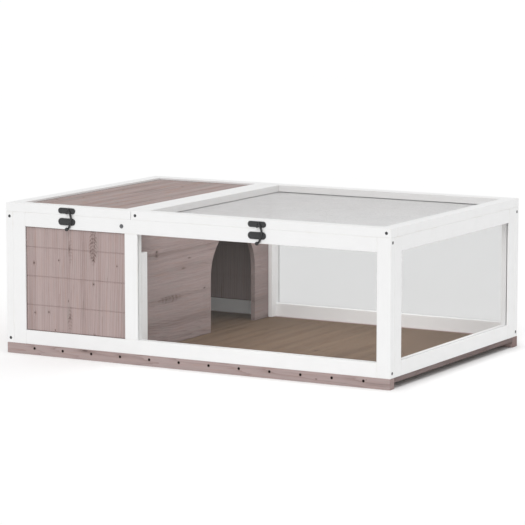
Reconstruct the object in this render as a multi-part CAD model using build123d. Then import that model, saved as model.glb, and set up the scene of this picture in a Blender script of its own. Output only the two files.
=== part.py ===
from build123d import *
import os

# A low timber house for a pet tortoise: a boarded hide room on the left, a glazed run on the
# right, a divider with an arched doorway between them, a hinged boarded lid over the hide and a
# hinged wire mesh lid over the run. Millimetres, X left to right, Y front to back, Z up.

# Whole house
house_l = 980.0
house_w = 650.0
wall_h = 301.4
lid_t = 19.6
hide_l = 334.15

# Painted frame stock
stock_t = 19.0
stile_w = 33.0
rail_h = 32.0
ease = 0.8

# Boards and panes held in the frames
board_t = 11.0
pane_t = 2.0
infill_recess = 4.0
infill_entry = 6.0
infill_gap = 0.2
seam_w = 4.4
seam_depth = 1.3
seam_pitch = 66.3
first_seam_h = 64.3

# Base
base_h = 24.0
front_beam_w = 20.0
rear_beam_w = 26.0
floor_t = 10.6
nail_r = 1.2
nail_l = 36.0
nail_head_r = 2.4
nail_head_t = 1.0
nail_z = 15.0
nail_count = 12
first_nail_inset = 74.3
last_nail_inset = 63.7

# Divider with its arched doorway and the cleats that hold its ends
divider_t = 11.0
divider_gap = 0.2
divider_end_gap = 0.5
divider_top_gap = 1.4
door_w = 208.0
door_spring_h = 129.0
door_rear_gap = 83.0
front_cleat_w = 24.0
rear_cleat_w = 19.0
cleat_h = 226.0

# Lids
lid_gap = 1.0
lid_rail_w = 30.5
lid_board_recess = 5.0
mesh_t = 1.2
mesh_wire_w = 1.5
mesh_lift = 0.8
mesh_entry = 8.0
mesh_groove_h = 2.8
mesh_gaps_across = 17
mesh_gaps_deep = 17

# Screws that show in the frames
frame_screw_r = 2.0
frame_screw_l = 44.0
frame_head_r = 3.5
frame_head_t = 2.0
screw_gap = 0.1
frame_screw_inset = 10.9
rail_screw_r = 2.2
rail_screw_l = 15.0
rail_head_r = 4.8
rail_head_t = 1.6
rail_screw_side_gap = 7.5
rail_screw_rise = 16.1

# Small screws of the latches and hinges
small_screw_r = 1.2
small_screw_l = 12.0
small_head_r = 2.4
small_head_t = 1.2

# Swivel latches
latch_shift = -1.2
latch_plate_l = 45.0
keeper_h = 13.2
rail_plate_h = 16.0
plate_t = 1.8
plate_bevel = 0.6
latch_screw_spread = 33.0
stud_shift = 1.2
stud_r = 2.5
stud_reach = 3.4
pivot_shift = 8.0
pivot_drop = 24.6
rivet_r = 2.0
rivet_head_r = 3.6
rivet_head_t = 1.2
run_gap = 0.08
face_gap = 0.35
lever_t = 2.4
hub_r = 6.4
arm_w = 3.8
arm_bow_x = 4.4
arm_bow_y = 12.5
notch_r = 3.4
stud_path_gap = 0.4
claw_lip = 1.6
tail_w = 4.0
tail_bow_x = 0.8
tail_bow_y = 9.2
knob_r = 4.2
knob_shift = -5.0
knob_drop = 16.5

# Butt hinges on the back
hinge_inset = 70.0
hinge_l = 40.0
leaf_h = 15.0
leaf_t = 1.5
knuckle_r = 2.8
knuckle_count = 5
knuckle_gap = 0.3
hinge_pin_r = 1.3
hinge_screw_spread = 25.0
overrun = 2.0

# Heights and places that follow from the sizes above
wall_top = base_h + wall_h
house_top = wall_top + lid_t
top_rail_z = wall_top - rail_h
bottom_rail_z = base_h + rail_h
mid_x0 = hide_l - stile_w / 2
mid_x1 = hide_l + stile_w / 2
inner_x1 = house_l - stock_t
inner_y1 = house_w - stock_t
divider_x0 = hide_l - divider_t / 2
divider_x1 = hide_l + divider_t / 2
solid_lid_x1 = hide_l - lid_gap / 2
mesh_lid_x0 = hide_l + lid_gap / 2
keeper_z = wall_top + lid_t / 2
pivot_z = keeper_z - pivot_drop
hinge_y = house_w + knuckle_r + knuckle_gap
lever_front = plate_t + face_gap + lever_t
knob_out = plate_t + face_gap + knob_r
front_reach = knob_out + knob_r
back_reach = hinge_y + knuckle_r - house_w
frame_shift = Pos(-house_l / 2, (front_reach - back_reach - house_w) / 2, 0)


def block(x0, x1, y0, y1, z0, z1, eased=ease):
    """A box between three pairs of planes, with its edges eased."""
    corner = (Align.MIN, Align.MIN, Align.MIN)
    solid = Pos(x0, y0, z0) * Box(x1 - x0, y1 - y0, z1 - z0, align=corner)
    return chamfer(solid.edges(), eased) if eased else solid


def rod(radius, length, at, towards):
    """A round bar that starts at a point and runs along a direction."""
    plane = Plane(origin=at, z_dir=towards)
    return plane * Cylinder(radius, length, align=(Align.CENTER, Align.CENTER, Align.MIN))


def export(name, solids):
    """Writes one node, moved so that the house stands centred on the origin."""
    parts = solids if isinstance(solids, list) else [solids]
    moved = [frame_shift * piece for part in parts for piece in part.solids()]
    shape = moved[0] if len(moved) == 1 else Compound(children=moved)
    export_step(shape, os.path.join("parts", name + ".step"))


def grooved(members, infill):
    """Cuts the groove for an infill into each member that the infill runs into."""
    return {name: member - infill for name, member in members.items()}


# Screws and nails: each is listed as its head point and the way it is driven

def countersunk(at, towards, shank_r, length, head_r, head_t, gap=0.0):
    """A screw or nail whose tapered head lies flush with the surface."""
    plane = Plane(origin=at, z_dir=towards)
    standing = (Align.CENTER, Align.CENTER, Align.MIN)
    head = plane * Cone(head_r + gap, shank_r + gap, head_t, align=standing)
    return head + rod(shank_r + gap, length + gap, at, towards)


def pan_screw(at, towards, shank_r, length, head_r, head_t, gap=0.0):
    """A screw whose head stands on the surface and whose shank runs in."""
    back = Vector(*towards) * -head_t
    head = rod(head_r, head_t, Vector(*at) + back, towards)
    return head + rod(shank_r + gap, length + gap, at, towards)


def screws_at(places, gap=0.0):
    """The long screws that join the frames at their corners."""
    sizes = (frame_screw_r, frame_screw_l, frame_head_r, frame_head_t)
    return [countersunk(at, towards, *sizes, gap=gap) for at, towards in places]


def small_screws(places, gap=0.0):
    """The short screws that hold the latches and the hinges."""
    sizes = (small_screw_r, small_screw_l, small_head_r, small_head_t)
    return [countersunk(at, towards, *sizes, gap=gap) for at, towards in places]


def drilled(member, screws):
    """Takes the room of each screw out of a member."""
    for screw in screws:
        member = member - screw
    return member


low_screw_z = base_h + frame_screw_inset
high_screw_z = wall_top - frame_screw_inset
frame_screw_places = []
for screw_z in (low_screw_z, high_screw_z):
    frame_screw_places += [
        ((stock_t / 2, 0, screw_z), (0, 1, 0)),
        ((stock_t / 2, house_w, screw_z), (0, -1, 0)),
        ((house_l, stock_t / 2, screw_z), (-1, 0, 0)),
        ((house_l, house_w - stock_t / 2, screw_z), (-1, 0, 0)),
    ]
frame_screws = screws_at(frame_screw_places)
frame_screw_room = screws_at(frame_screw_places, screw_gap)

mesh_screw_places = []
for screw_x in (mesh_lid_x0 + frame_screw_inset, house_l - frame_screw_inset):
    mesh_screw_places += [
        ((screw_x, 0, keeper_z), (0, 1, 0)),
        ((screw_x, house_w, keeper_z), (0, -1, 0)),
    ]
mesh_lid_screws = screws_at(mesh_screw_places)
mesh_lid_screw_room = screws_at(mesh_screw_places, screw_gap)

rail_screw_at = (mid_x0 - rail_screw_side_gap, 0, top_rail_z + rail_screw_rise)
rail_screw_sizes = (rail_screw_r, rail_screw_l, rail_head_r, rail_head_t)
rail_screw = pan_screw(rail_screw_at, (0, 1, 0), *rail_screw_sizes)
rail_screw_room = pan_screw(rail_screw_at, (0, 1, 0), *rail_screw_sizes, gap=screw_gap)


def nails(gap=0.0):
    """The nails that hold the floor panel to both beams, at an even pitch."""
    pitch = (house_l - first_nail_inset - last_nail_inset) / (nail_count - 1)
    sizes = (nail_r, nail_l, nail_head_r, nail_head_t, gap)
    found = []
    for n in range(nail_count):
        x = first_nail_inset + n * pitch
        found.append(countersunk((x, 0, nail_z), (0, 1, 0), *sizes))
        found.append(countersunk((x, house_w, nail_z), (0, -1, 0), *sizes))
    return found


# Base: two beams that stand on the ground and the floor panel between them

def make_base():
    floor_z = base_h - floor_t
    floor_y1 = house_w - rear_beam_w
    beams = {
        "base_front_beam": block(0, house_l, 0, front_beam_w, 0, base_h),
        "base_rear_beam": block(0, house_l, floor_y1, house_w, 0, base_h),
        "floor_panel": block(0, house_l, front_beam_w, floor_y1, floor_z, base_h),
    }
    room = nails(screw_gap)
    for name, member in beams.items():
        export(name, drilled(member, room))
    export("base_nails", nails())


# Infill boards and panes, each in its own groove

def seam_heights():
    """The levels of the grooves, from the foot of a wall board up."""
    first = bottom_rail_z - infill_entry + first_seam_h
    count = int((top_rail_z - first) // seam_pitch) + 1
    return [first + n * seam_pitch for n in range(count)]


def seam(start, towards, length):
    """A shallow V groove, as the path of a slim diamond that is centred on the board's face."""
    half = seam_w / 2
    plane = Plane(origin=start, x_dir=(0, 0, 1), z_dir=towards)
    diamond = Polygon((half, 0), (0, seam_depth), (-half, 0), (0, -seam_depth), align=None)
    return extrude(plane * diamond, length)


def infill(x0, x1, y0, y1, z0, z1, gap=0.0):
    """A board or pane given by the planes of its edges and faces, or the room that it needs."""
    return block(x0 - gap, x1 + gap, y0 - gap, y1 + gap, z0 - gap, z1 + gap, eased=0)


def wall_z():
    return bottom_rail_z - infill_entry, top_rail_z + infill_entry


def make_long_wall(side, outer_y, inwards):
    """The front or the rear wall: three stiles, two rails, a board on the left, a pane right."""
    y0 = min(outer_y, outer_y + inwards * stock_t)
    y1 = y0 + stock_t
    left_x1 = stock_t + stile_w
    right_x0 = house_l - stile_w
    members = {
        side + "_left_stile": block(stock_t, left_x1, y0, y1, base_h, wall_top),
        side + "_mid_stile": block(mid_x0, mid_x1, y0, y1, bottom_rail_z, top_rail_z),
        side + "_right_stile": block(right_x0, house_l, y0, y1, base_h, wall_top),
        side + "_bottom_rail": block(left_x1, right_x0, y0, y1, base_h, bottom_rail_z),
        side + "_top_rail": block(left_x1, right_x0, y0, y1, top_rail_z, wall_top),
    }
    z0, z1 = wall_z()
    near = outer_y + inwards * infill_recess
    board_y = sorted((near, near + inwards * board_t))
    pane_y = sorted((near, near + inwards * pane_t))
    board_x = (left_x1 - infill_entry, mid_x0 + infill_entry)
    pane_x = (mid_x1 - infill_entry, right_x0 + infill_entry)
    members = grooved(members, infill(*board_x, *board_y, z0, z1, infill_gap))
    members = grooved(members, infill(*pane_x, *pane_y, z0, z1, infill_gap))
    board = infill(*board_x, *board_y, z0, z1)
    for seam_z in seam_heights():
        board = board - seam((board_x[0], near, seam_z), (1, 0, 0), board_x[1] - board_x[0])
    export(side + "_board", board)
    export(side + "_window", infill(*pane_x, *pane_y, z0, z1))
    return members


def make_side_wall(side, x0, x1, y0, y1):
    """The left or the right wall: two stiles and two rails."""
    front_y1 = y0 + stile_w
    rear_y0 = y1 - stile_w
    return {
        side + "_front_stile": block(x0, x1, y0, front_y1, base_h, wall_top),
        side + "_rear_stile": block(x0, x1, rear_y0, y1, base_h, wall_top),
        side + "_bottom_rail": block(x0, x1, front_y1, rear_y0, base_h, bottom_rail_z),
        side + "_top_rail": block(x0, x1, front_y1, rear_y0, top_rail_z, wall_top),
    }


def make_left_wall():
    """A boarded wall as deep as the house, whose edges show at the front and the back."""
    members = make_side_wall("left", 0, stock_t, 0, house_w)
    z0, z1 = wall_z()
    x = (infill_recess, infill_recess + board_t)
    y = (stile_w - infill_entry, house_w - stile_w + infill_entry)
    members = grooved(members, infill(*x, *y, z0, z1, infill_gap))
    board = infill(*x, *y, z0, z1)
    for seam_z in seam_heights():
        board = board - seam((x[0], y[0], seam_z), (0, 1, 0), y[1] - y[0])
    export("left_board", board)
    return members


def make_right_wall():
    """A glazed wall that stands between the front and the rear walls."""
    members = make_side_wall("right", inner_x1, house_l, stock_t, inner_y1)
    z0, z1 = wall_z()
    x = (house_l - infill_recess - pane_t, house_l - infill_recess)
    y = (stock_t + stile_w - infill_entry, inner_y1 - stile_w + infill_entry)
    members = grooved(members, infill(*x, *y, z0, z1, infill_gap))
    export("right_window", infill(*x, *y, z0, z1))
    return members


# Divider: a board with an arched doorway, dropped between two pairs of cleats

def make_divider():
    y0 = stock_t + divider_end_gap
    y1 = inner_y1 - divider_end_gap
    wall = block(divider_x0, divider_x1, y0, y1, base_h, wall_top - divider_top_gap)
    door_y = inner_y1 - door_rear_gap - door_w / 2
    spring_z = base_h + door_spring_h
    cut_t = divider_t + overrun + overrun
    door_y0 = door_y - door_w / 2
    straight = block(divider_x0 - overrun, divider_x0 - overrun + cut_t, door_y0, door_y0 + door_w,
                     base_h - overrun, spring_z, eased=0)
    arch = rod(door_w / 2, cut_t, (divider_x0 - overrun, door_y, spring_z), (1, 0, 0))
    export("divider", wall - straight - arch)
    cleat_z1 = base_h + cleat_h
    front, rear = [], []
    for x0, x1 in ((mid_x0, divider_x0 - divider_gap), (divider_x1 + divider_gap, mid_x1)):
        front.append(block(x0, x1, stock_t, stock_t + front_cleat_w, base_h, cleat_z1))
        rear.append(block(x0, x1, inner_y1 - rear_cleat_w, inner_y1, base_h, cleat_z1))
    export("divider_front_cleats", front)
    export("divider_rear_cleats", rear)


# Lids: four rails each, round a board or round wire mesh that lies in a taller sawn groove

def lid_rails(name, x0, x1):
    inner_x0 = x0 + lid_rail_w
    side_x1 = x1 - lid_rail_w
    side_y1 = house_w - lid_rail_w
    return {
        name + "_front_rail": block(x0, x1, 0, lid_rail_w, wall_top, house_top),
        name + "_rear_rail": block(x0, x1, side_y1, house_w, wall_top, house_top),
        name + "_left_rail": block(x0, inner_x0, lid_rail_w, side_y1, wall_top, house_top),
        name + "_right_rail": block(side_x1, x1, lid_rail_w, side_y1, wall_top, house_top),
    }


def make_solid_lid():
    rails = lid_rails("solid_lid", 0, solid_lid_x1)
    side = lid_rail_w - infill_entry
    z1 = house_top - lid_board_recess
    planes = (side, solid_lid_x1 - side, side, house_w - side, z1 - board_t, z1)
    export("solid_lid_board", infill(*planes))
    return grooved(rails, infill(*planes, infill_gap))


def make_mesh_lid():
    rails = lid_rails("mesh_lid", mesh_lid_x0, house_l)
    side = lid_rail_w - mesh_entry
    z0 = wall_top + mesh_lift
    planes = (mesh_lid_x0 + side, house_l - side, side, house_w - side)
    open_l = house_l - mesh_lid_x0 - lid_rail_w - lid_rail_w - mesh_wire_w - mesh_wire_w
    open_w = house_w - lid_rail_w - lid_rail_w - mesh_wire_w - mesh_wire_w
    pitch_x = (open_l + mesh_wire_w) / mesh_gaps_across
    pitch_y = (open_w + mesh_wire_w) / mesh_gaps_deep
    sheet = Rectangle(planes[1] - planes[0], planes[3] - planes[2])
    gap = Rectangle(pitch_x - mesh_wire_w, pitch_y - mesh_wire_w)
    places = GridLocations(pitch_x, pitch_y, mesh_gaps_across, mesh_gaps_deep)
    net = sheet - [place * gap for place in places]
    centre = Pos((planes[0] + planes[1]) / 2, (planes[2] + planes[3]) / 2, z0)
    export("wire_mesh", centre * extrude(net, mesh_t))
    return grooved(rails, infill(*planes, z0, z0 + mesh_groove_h, infill_gap))


# Swivel latches: a keeper plate and stud on the lid, a plate, rivet and lever on the rail

def oval_plate(x, z, height):
    """A plate with round ends and a bevelled front, flat on the wall's or lid's front face."""
    slot = SlotOverall(latch_plate_l, height)
    plate = Plane(origin=(x, 0, z), x_dir=(1, 0, 0), z_dir=(0, -1, 0)) * extrude(slot, plate_t)
    front = plate.faces().sort_by(Axis.Y)[0]
    return chamfer(front.edges(), plate_bevel)


def latch_screw_places(x, z):
    half = latch_screw_spread / 2
    return [((x - half, -plate_t, z), (0, 1, 0)), ((x + half, -plate_t, z), (0, 1, 0))]


def make_keeper(x):
    """The lid's plate and the stud riveted into it, which the lever's claw takes."""
    stud_at = (x + stud_shift, 0, keeper_z)
    plate = oval_plate(x, keeper_z, keeper_h) - rod(stud_r, plate_t, stud_at, (0, -1, 0))
    plate = drilled(plate, small_screws(latch_screw_places(x, keeper_z), screw_gap))
    stud = rod(stud_r, plate_t + stud_reach, stud_at, (0, -1, 0))
    return plate, chamfer(stud.faces().sort_by(Axis.Y)[0].edges(), plate_bevel)


def make_rail_plate(x):
    """The wall's plate, with the hole of the rivet that the lever turns on."""
    plate = oval_plate(x, pivot_z, rail_plate_h)
    pivot = (x + pivot_shift, 0, pivot_z)
    plate = plate - rod(rivet_r + run_gap, plate_t, pivot, (0, -1, 0))
    return drilled(plate, small_screws(latch_screw_places(x, pivot_z), screw_gap))


def make_rivet(x):
    """The rivet, whose head keeps the lever on."""
    pivot = (x + pivot_shift, 0, pivot_z)
    head_y = lever_front + face_gap
    shank = rod(rivet_r, head_y, pivot, (0, -1, 0))
    head = rod(rivet_head_r, rivet_head_t, (pivot[0], -head_y, pivot[2]), (0, -1, 0))
    return shank + chamfer(head.faces().sort_by(Axis.Y)[0].edges(), plate_bevel)


def lever_outline():
    """The flat S of the lever, drawn about its pivot with X right and Y up.

    The claw is a ring round the stud. It is cut away where the stud leaves it when the lever
    swings, and where the stud rises when the lid is lifted."""
    stud_x = stud_shift - pivot_shift
    stud = Pos(stud_x, pivot_drop)
    claw_r = notch_r + arm_w
    clear = stud_r + stud_path_gap
    swing_r = Vector(stud_x, pivot_drop).length
    left_of_stud = Rectangle(claw_r, claw_r + claw_r, align=(Align.MAX, Align.CENTER))
    swing = (Circle(swing_r + clear) - Circle(swing_r - clear)) & (stud * left_of_stud)
    rise = stud * Rectangle(clear + clear, claw_r, align=(Align.CENTER, Align.MIN))
    claw = stud * (Circle(claw_r) - Circle(notch_r) - Pos(-claw_lip, 0) * left_of_stud)
    arm_line = ThreePointArc(
        (hub_r - arm_w / 2, 0),
        (arm_bow_x, arm_bow_y),
        (stud_x + notch_r + arm_w / 2, pivot_drop),
    )
    tail_line = ThreePointArc((0, 0), (tail_bow_x, -tail_bow_y), (knob_shift, -knob_drop))
    body = claw + trace(arm_line, arm_w) + Circle(hub_r) + trace(tail_line, tail_w)
    return body - stud * Circle(notch_r) - swing - rise - Circle(rivet_r + run_gap)


def make_lever(x):
    """The lever, cut from flat bar, with a ball for the finger at the end of its tail."""
    back = -(plate_t + face_gap)
    plane = Plane(origin=(x + pivot_shift, back, pivot_z), x_dir=(1, 0, 0), z_dir=(0, -1, 0))
    flat = plane * extrude(lever_outline(), lever_t)
    knob_at = (x + pivot_shift + knob_shift, -knob_out, pivot_z - knob_drop)
    return flat + Pos(*knob_at) * Sphere(knob_r)


# Butt hinges: five knuckles on a pin, two leaves screwed to the rear faces

def hinge_xs():
    return [
        hinge_inset,
        solid_lid_x1 - hinge_inset,
        mesh_lid_x0 + hinge_inset,
        house_l - hinge_inset,
    ]


def make_leaf(x, up, knuckles):
    """One leaf with its knuckles; up is 1 for the lid's leaf and -1 for the wall's."""
    x0 = x - hinge_l / 2
    segment = hinge_l / knuckle_count
    clear = knuckle_r + face_gap
    z = sorted((wall_top + up * clear, wall_top + up * leaf_h))
    leaf = block(x0, x0 + hinge_l, house_w, house_w + leaf_t, z[0], z[1], eased=0)
    for n in knuckles:
        start = x0 + n * segment + face_gap / 2
        length = segment - face_gap
        tongue_z = sorted((wall_top, wall_top + up * (clear + overrun)))
        leaf = leaf + rod(knuckle_r, length, (start, hinge_y, wall_top), (1, 0, 0))
        leaf = leaf + block(start, start + length, house_w, house_w + leaf_t, *tongue_z, eased=0)
    bore = rod(hinge_pin_r + run_gap, hinge_l, (x0, hinge_y, wall_top), (1, 0, 0))
    leaf = leaf - bore
    return drilled(leaf, small_screws(leaf_screw_places(x, up), screw_gap))


def leaf_screw_places(x, up):
    half = hinge_screw_spread / 2
    z = wall_top + up * (knuckle_r + leaf_h) / 2
    y = house_w + leaf_t
    return [((x - half, y, z), (0, -1, 0)), ((x + half, y, z), (0, -1, 0))]


def make_hinge_pins():
    return [rod(hinge_pin_r, hinge_l, (x - hinge_l / 2, hinge_y, wall_top), (1, 0, 0))
            for x in hinge_xs()]


# The whole house, piece by piece

def make_house():
    latch_xs = (solid_lid_x1 / 2 + latch_shift, (mesh_lid_x0 + house_l) / 2 + latch_shift)
    solid_x, mesh_x = latch_xs
    solid_hinges, mesh_hinges = hinge_xs()[:2], hinge_xs()[2:]
    odd, even = range(0, knuckle_count, 2), range(1, knuckle_count, 2)

    wall_places = []
    for x in latch_xs:
        wall_places += latch_screw_places(x, pivot_z)
    for x in hinge_xs():
        wall_places += leaf_screw_places(x, -1)
    solid_places = latch_screw_places(solid_x, keeper_z)
    for x in solid_hinges:
        solid_places += leaf_screw_places(x, 1)
    mesh_places = latch_screw_places(mesh_x, keeper_z)
    for x in mesh_hinges:
        mesh_places += leaf_screw_places(x, 1)

    make_base()
    walls = {**make_long_wall("front", 0, 1), **make_long_wall("rear", house_w, -1)}
    walls.update(make_left_wall())
    walls.update(make_right_wall())
    wall_room = frame_screw_room + [rail_screw_room] + small_screws(wall_places, screw_gap)
    for name, member in walls.items():
        export(name, drilled(member, wall_room))
    make_divider()

    for name, member in make_solid_lid().items():
        export(name, drilled(member, small_screws(solid_places, screw_gap)))
    mesh_room = mesh_lid_screw_room + small_screws(mesh_places, screw_gap)
    for name, member in make_mesh_lid().items():
        export(name, drilled(member, mesh_room))

    export("frame_screws", frame_screws)
    export("rail_screw", rail_screw)
    export("mesh_lid_screws", mesh_lid_screws)
    export("wall_small_screws", small_screws(wall_places))
    export("solid_lid_small_screws", small_screws(solid_places))
    export("mesh_lid_small_screws", small_screws(mesh_places))

    for lid, x in (("solid_lid", solid_x), ("mesh_lid", mesh_x)):
        plate, stud = make_keeper(x)
        export(lid + "_keeper_plate", plate)
        export(lid + "_keeper_stud", stud)
    export("latch_rail_plates", [make_rail_plate(x) for x in latch_xs])
    export("latch_rivets", [make_rivet(x) for x in latch_xs])
    export("left_latch_lever", make_lever(solid_x))
    export("right_latch_lever", make_lever(mesh_x))

    export("wall_hinge_leaves", [make_leaf(x, -1, odd) for x in hinge_xs()])
    export("solid_lid_hinge_leaves", [make_leaf(x, 1, even) for x in solid_hinges])
    export("mesh_lid_hinge_leaves", [make_leaf(x, 1, even) for x in mesh_hinges])
    export("hinge_pins", make_hinge_pins())


os.makedirs("parts", exist_ok=True)
make_house()
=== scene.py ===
"""Finishes, fittings and studio for a wooden tortoise house with two hinged lids."""
from functools import reduce
from math import ceil, radians, tau
from random import Random

import bmesh
import bpy
from bpy.props import FloatProperty, FloatVectorProperty, IntProperty, PointerProperty
from mathutils import Matrix, Vector


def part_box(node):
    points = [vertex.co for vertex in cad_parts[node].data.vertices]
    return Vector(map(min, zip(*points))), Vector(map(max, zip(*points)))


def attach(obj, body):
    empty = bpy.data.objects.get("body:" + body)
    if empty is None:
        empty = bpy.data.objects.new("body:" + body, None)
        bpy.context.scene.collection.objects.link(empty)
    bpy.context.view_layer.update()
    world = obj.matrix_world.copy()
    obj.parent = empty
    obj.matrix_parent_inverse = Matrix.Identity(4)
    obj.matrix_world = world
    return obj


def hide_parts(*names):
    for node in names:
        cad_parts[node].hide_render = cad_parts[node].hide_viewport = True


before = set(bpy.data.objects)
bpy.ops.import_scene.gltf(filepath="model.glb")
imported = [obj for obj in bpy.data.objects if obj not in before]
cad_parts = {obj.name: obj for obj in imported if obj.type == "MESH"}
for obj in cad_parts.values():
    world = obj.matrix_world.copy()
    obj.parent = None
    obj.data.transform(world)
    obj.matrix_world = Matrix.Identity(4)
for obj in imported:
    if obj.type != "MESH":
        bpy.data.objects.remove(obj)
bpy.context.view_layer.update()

bl_info = {
    "name": "Tortoise House",
    "version": (1, 0, 0),
    "blender": (4, 5, 0),
    "location": "3D View > Sidebar > Tortoise House",
    "description": "Finishes and fittings of a tortoise house, with its studio",
    "category": "Object",
}

MM = 0.001


def colour(name, description, default):
    """A colour that the user may change."""
    return FloatVectorProperty(name=name, description=description, default=default,
                               size=3, min=0, max=1, subtype="COLOR")


def length(name, description, default):
    """A length in metres that the user may change."""
    return FloatProperty(name=name, description=description, default=default,
                         min=0, precision=5, unit="LENGTH", subtype="DISTANCE")


def share(name, description, default):
    """A part of one that the user may change."""
    return FloatProperty(name=name, description=description, default=default,
                         min=0, max=1, subtype="FACTOR")


class HouseFinishes(bpy.types.PropertyGroup):
    """Colours and gloss of the house's materials."""

    paint: colour("Paint", "White paint on frames, rails and cleats", (0.848, 0.848, 0.848))
    paint_roughness: share("Paint roughness", "How matt the white paint is", 0.48)
    knot_bleed: colour("Knot bleed", "Tint of the resin that shows through paint",
                       (0.80, 0.765, 0.70))
    stain: colour("Stain", "Mid tone of the washed brown boards", (0.416, 0.325, 0.314))
    stain_pale: colour("Pale grain", "Chalky wash in the early wood",
                       (0.486, 0.392, 0.379))
    stain_dark: colour("Dark grain", "Late wood and cracks of the boards",
                       (0.240, 0.174, 0.162))
    stain_warm: colour("Warm grain", "Brown heartwood that shows through the wash",
                       (0.420, 0.275, 0.215))
    stain_cool: colour("Cool grain", "Weathered grey that shows through the wash",
                       (0.345, 0.330, 0.300))
    # The knots' colour also paints the shadow line where boards run into their frames and the shade
    # round the nails.
    knot: colour("Knots", "Heart of a knot in the boards", (0.075, 0.048, 0.040))
    black: colour("Black coat", "Powder coat of latches and hinges",
                  (0.030, 0.030, 0.031))
    screw: colour("Screws", "Dark steel of the screws", (0.040, 0.041, 0.043))
    nail: colour("Nails", "Blackened nail heads", (0.004, 0.003, 0.003))
    zinc: colour("Zinc", "Galvanised wire", (0.87, 0.875, 0.88))
    pane: colour("Pane tint", "Tint of the clear sheet", (0.10, 0.11, 0.11))
    pane_haze: share("Pane haze", "How much one face of the sheet holds back", 0.10)


class HouseFittings(bpy.types.PropertyGroup):
    """Sizes of the small fittings."""

    wire_pitch: length("Wire pitch", "From one wire of the net to the next", 6 * MM)
    wire_thickness: length("Wire thickness", "Diameter of a wire", 0.8 * MM)
    wire_sides: IntProperty(name="Wire sides", description="Flat sides round a wire",
                            default=6, min=3, max=24)
    plate_edge: length("Plate edge", "Softened edge of plates and levers", 0.3 * MM)
    round_sides: IntProperty(name="Round sides", default=24, min=8, max=64,
                             description="Flat sides round a screw or nail head")


class HouseStudio(bpy.types.PropertyGroup):
    """Floor, light and camera."""

    floor: colour("Floor", "Pale studio floor", (0.985, 0.985, 0.985))
    floor_width: length("Floor width", "Side of the square floor", 80.0)
    room_light: FloatProperty(name="Room light", description="Strength of the white room",
                              default=0.80, min=0)
    lamp: FloatProperty(name="Lamp", description="Strength of the high soft lamp",
                        default=0.90, min=0)
    fill: FloatProperty(name="Fill", description="Power of the soft panel over the run",
                        default=1.8, min=0, unit="POWER")
    lamp_spread: FloatProperty(name="Lamp spread", description="How wide the lamp looks",
                               default=radians(28), min=0, max=radians(180),
                               unit="ROTATION")
    lens: FloatProperty(name="Lens", description="Focal length on a 36 mm sensor",
                        default=193.229, min=1, unit="CAMERA")


class Value:
    """A socket of a finish that Python's own arithmetic works on."""

    def __init__(self, finish, socket):
        self.finish, self.socket = finish, socket

    def maths(self, operation, first, second=0.0):
        return self.finish.add("ShaderNodeMath", {"operation": operation},
                               {0: first, 1: second})

    def __add__(self, other):
        return self.maths("ADD", self, other)

    __radd__ = __add__

    def __sub__(self, other):
        return self.maths("SUBTRACT", self, other)

    def __rsub__(self, other):
        return self.maths("SUBTRACT", other, self)

    def __mul__(self, other):
        return self.maths("MULTIPLY", self, other)

    __rmul__ = __mul__

    def __truediv__(self, other):
        return self.maths("DIVIDE", self, other)

    def __rtruediv__(self, other):
        return self.maths("DIVIDE", other, self)

    def __pow__(self, other):
        return self.maths("POWER", self, other)

    def fraction(self):
        """What is left over a whole number."""
        return self.maths("FRACT", self)

    def root(self):
        """The square root."""
        return self.maths("SQRT", self)

    def size(self):
        """The value without its sign."""
        return self.maths("ABSOLUTE", self)

    def least(self, other):
        """The lesser of two values."""
        return self.maths("MINIMUM", self, other)

    def most(self, other):
        """The greater of two values."""
        return self.maths("MAXIMUM", self, other)

    def rise(self, start, end):
        """0 before start and 1 after end, with a soft step between."""
        settings = {"interpolation_type": "SMOOTHSTEP", "clamp": True}
        return self.finish.add("ShaderNodeMapRange", settings,
                               {0: self, 1: start, 2: end, 3: 0.0, 4: 1.0})


def strongest(masks):
    """The greatest of several masks at each point."""
    return reduce(Value.most, masks)


def tinted(tone, share_of_light):
    """A colour with each channel times a share."""
    return tuple(channel * share_of_light for channel in tone)


# Each noise pattern: its size in mm along, across and through the grain, or along x, y and z
# where there is no grain, then its detail and its roughness.
PATTERNS = {
    "wander": ((260, 70, 70), 1.5, 0.5),
    "season": ((500, 9, 30), 2.0, 0.5),
    "wide": ((900, 17, 40), 2.0, 0.55),
    "streak": ((160, 3.4, 6), 2.0, 0.6),
    "fibre": ((22, 0.55, 0.9), 2.0, 0.6),
    "hue": ((75, 5, 8), 3.0, 0.7),
    "chevron edge": ((6, 3, 1), 2.0, 0.6),
    "chevron gaps": ((9, 3, 1), 1.0, 0.5),
    "paint cloud": ((38, 38, 38), 3.0, 0.5),
    "brush": ((60, 0.8, 0.8), 1.0, 0.5),
    "smear": ((45, 45, 25), 3.0, 0.6),
    "orange peel": ((0.5, 0.5, 0.5), 1.0, 0.5),
    "rub": ((9, 9, 9), 4.0, 0.6),
    "bloom": ((1.3, 1.3, 1.3), 3.0, 0.6),
    "zinc patch": ((60, 60, 60), 2.0, 0.5),
    "studio floor": ((900, 900, 900), 3.0, 0.5),
}
SPANGLE_SIZE = (3.2, 3.2, 3.2)

# Each finish's relief: its depth in metres and its strength.
RELIEFS = {
    "paint": (0.12 * MM, 0.8),
    "stain": (0.22 * MM, 0.8),
    "black coat": (0.06 * MM, 0.7),
    "dark steel": (0.04 * MM, 0.5),
    "zinc": (0.03 * MM, 0.3),
}
ACRYLIC_IOR = 1.49

# From where to where in its noise each change of a finish comes in.
PAINT_CLOUDS = (0.35, 0.8)
PAINT_WEAR = (0.45, 0.75)
WARM_WOOD = (0.52, 0.70)
COOL_WOOD = (0.32, 0.48)
SMEARS = (0.5, 0.8)
RUBBED = (0.5, 0.8)
DUST = (0.4, 0.8)
ZINC_PATCHES = (0.4, 0.7)

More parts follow.
